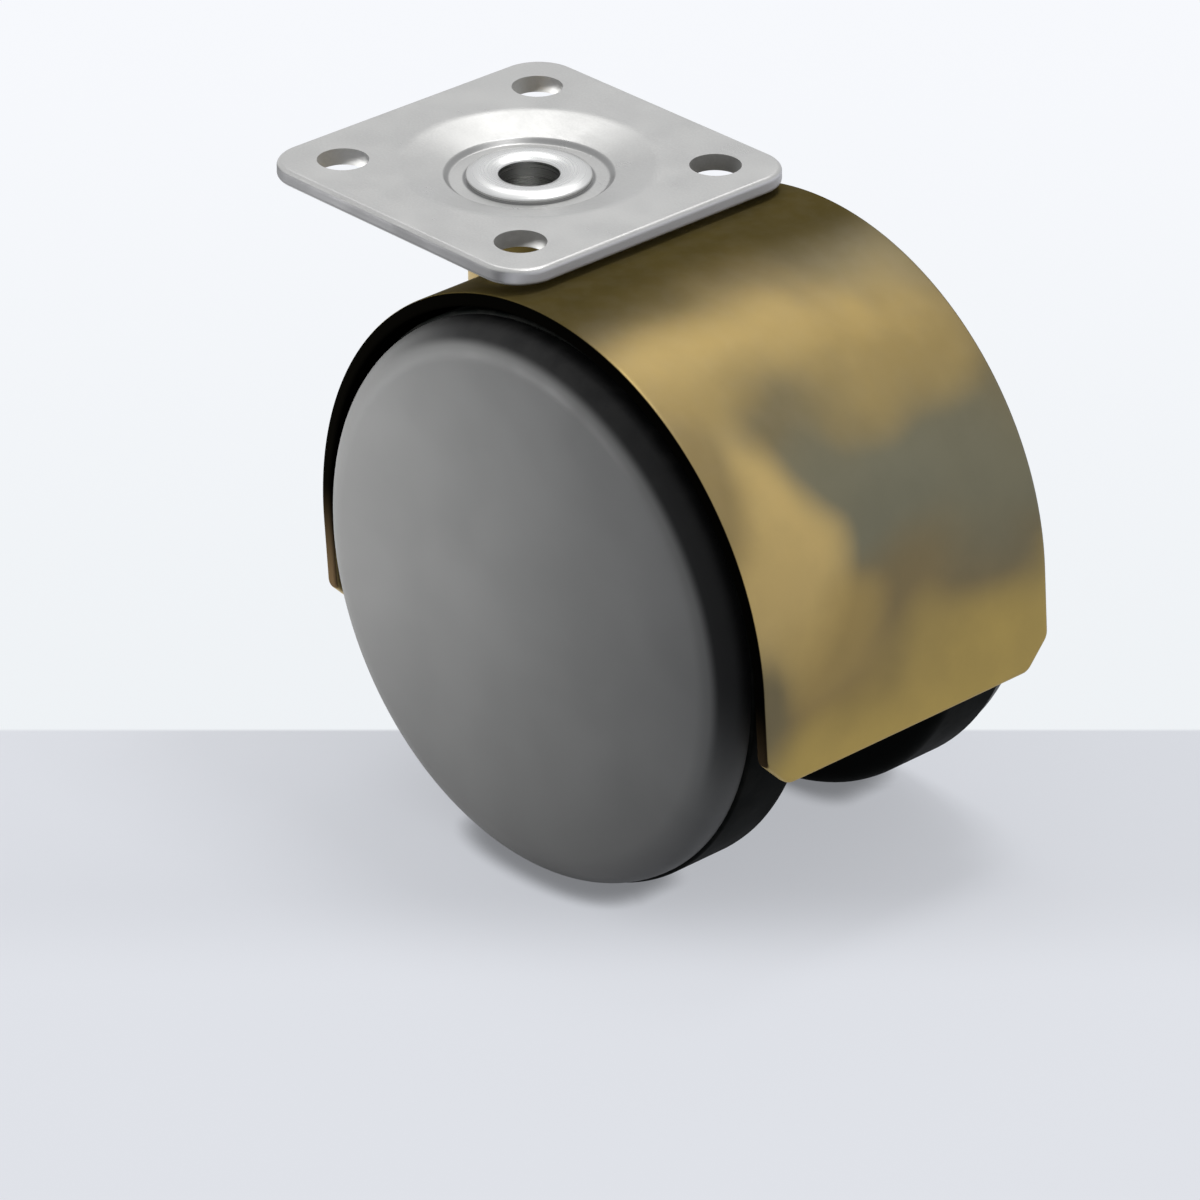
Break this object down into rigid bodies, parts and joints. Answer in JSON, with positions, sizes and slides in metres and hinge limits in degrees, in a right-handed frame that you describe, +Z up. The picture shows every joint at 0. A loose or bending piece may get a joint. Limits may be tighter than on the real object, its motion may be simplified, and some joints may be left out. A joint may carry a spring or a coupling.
{
  "type": "twin wheel castor",
  "caption": "Twin wheel furniture castor with a brass-finished arched hood over grey-faced wheels, swivelling under a square screw-on top plate.",
  "frame": {"origin": "centre of the four screw holes, on the top plate's mounting face, on the swivel axis", "axes": "+Z up out of the mounting face along the swivel axis, +X towards the side on which the wheels trail, Y along the wheels' axle"},
  "size_m": [0.0746, 0.0448, 0.0644],
  "materials": {
    "zinc_plate": "satin zinc plating",
    "spring_steel": "hardened, oiled",
    "bush_metal": "turned, greased",
    "antique_brass": "aged satin brass plating on a die casting",
    "axle_steel": "ground and oiled",
    "wheel_nylon": "black moulded nylon",
    "soft_tread": "smooth black soft tread",
    "grey_cover": "smooth satin grey"
  },
  "bodies": {
    "mounting": {"top_plate": "zinc_plate", "kingpin": "zinc_plate", "retaining_ring": "spring_steel", "foot_washer": "zinc_plate"},
    "swivel_body": {"hood_body": "antique_brass", "swivel_bush": "bush_metal", "thrust_washer": "spring_steel", "axle": "axle_steel", "spacer_washer_left": "zinc_plate", "spacer_washer_right": "zinc_plate", "push_cap_left": "spring_steel", "push_cap_right": "spring_steel"},
    "left_wheel": {"wheel_left": "wheel_nylon", "tread_left": "soft_tread", "wheel_cover_left": "grey_cover"},
    "right_wheel": {"wheel_right": "wheel_nylon", "tread_right": "soft_tread", "wheel_cover_right": "grey_cover"}
  },
  "joints": [
    {"name": "swivel", "type": "hinge", "parent": "mounting", "child": "swivel_body", "pos_m": [0, 0, 0], "axis": [0, 0, 1], "continuous": true},
    {"name": "left_wheel_spin", "type": "hinge", "parent": "swivel_body", "child": "left_wheel", "pos_m": [0.0222, 0, -0.0344], "axis": [0, 1, 0], "continuous": true},
    {"name": "right_wheel_spin", "type": "hinge", "parent": "swivel_body", "child": "right_wheel", "pos_m": [0.0222, 0, -0.0344], "axis": [0, 1, 0], "continuous": true}
  ]
}
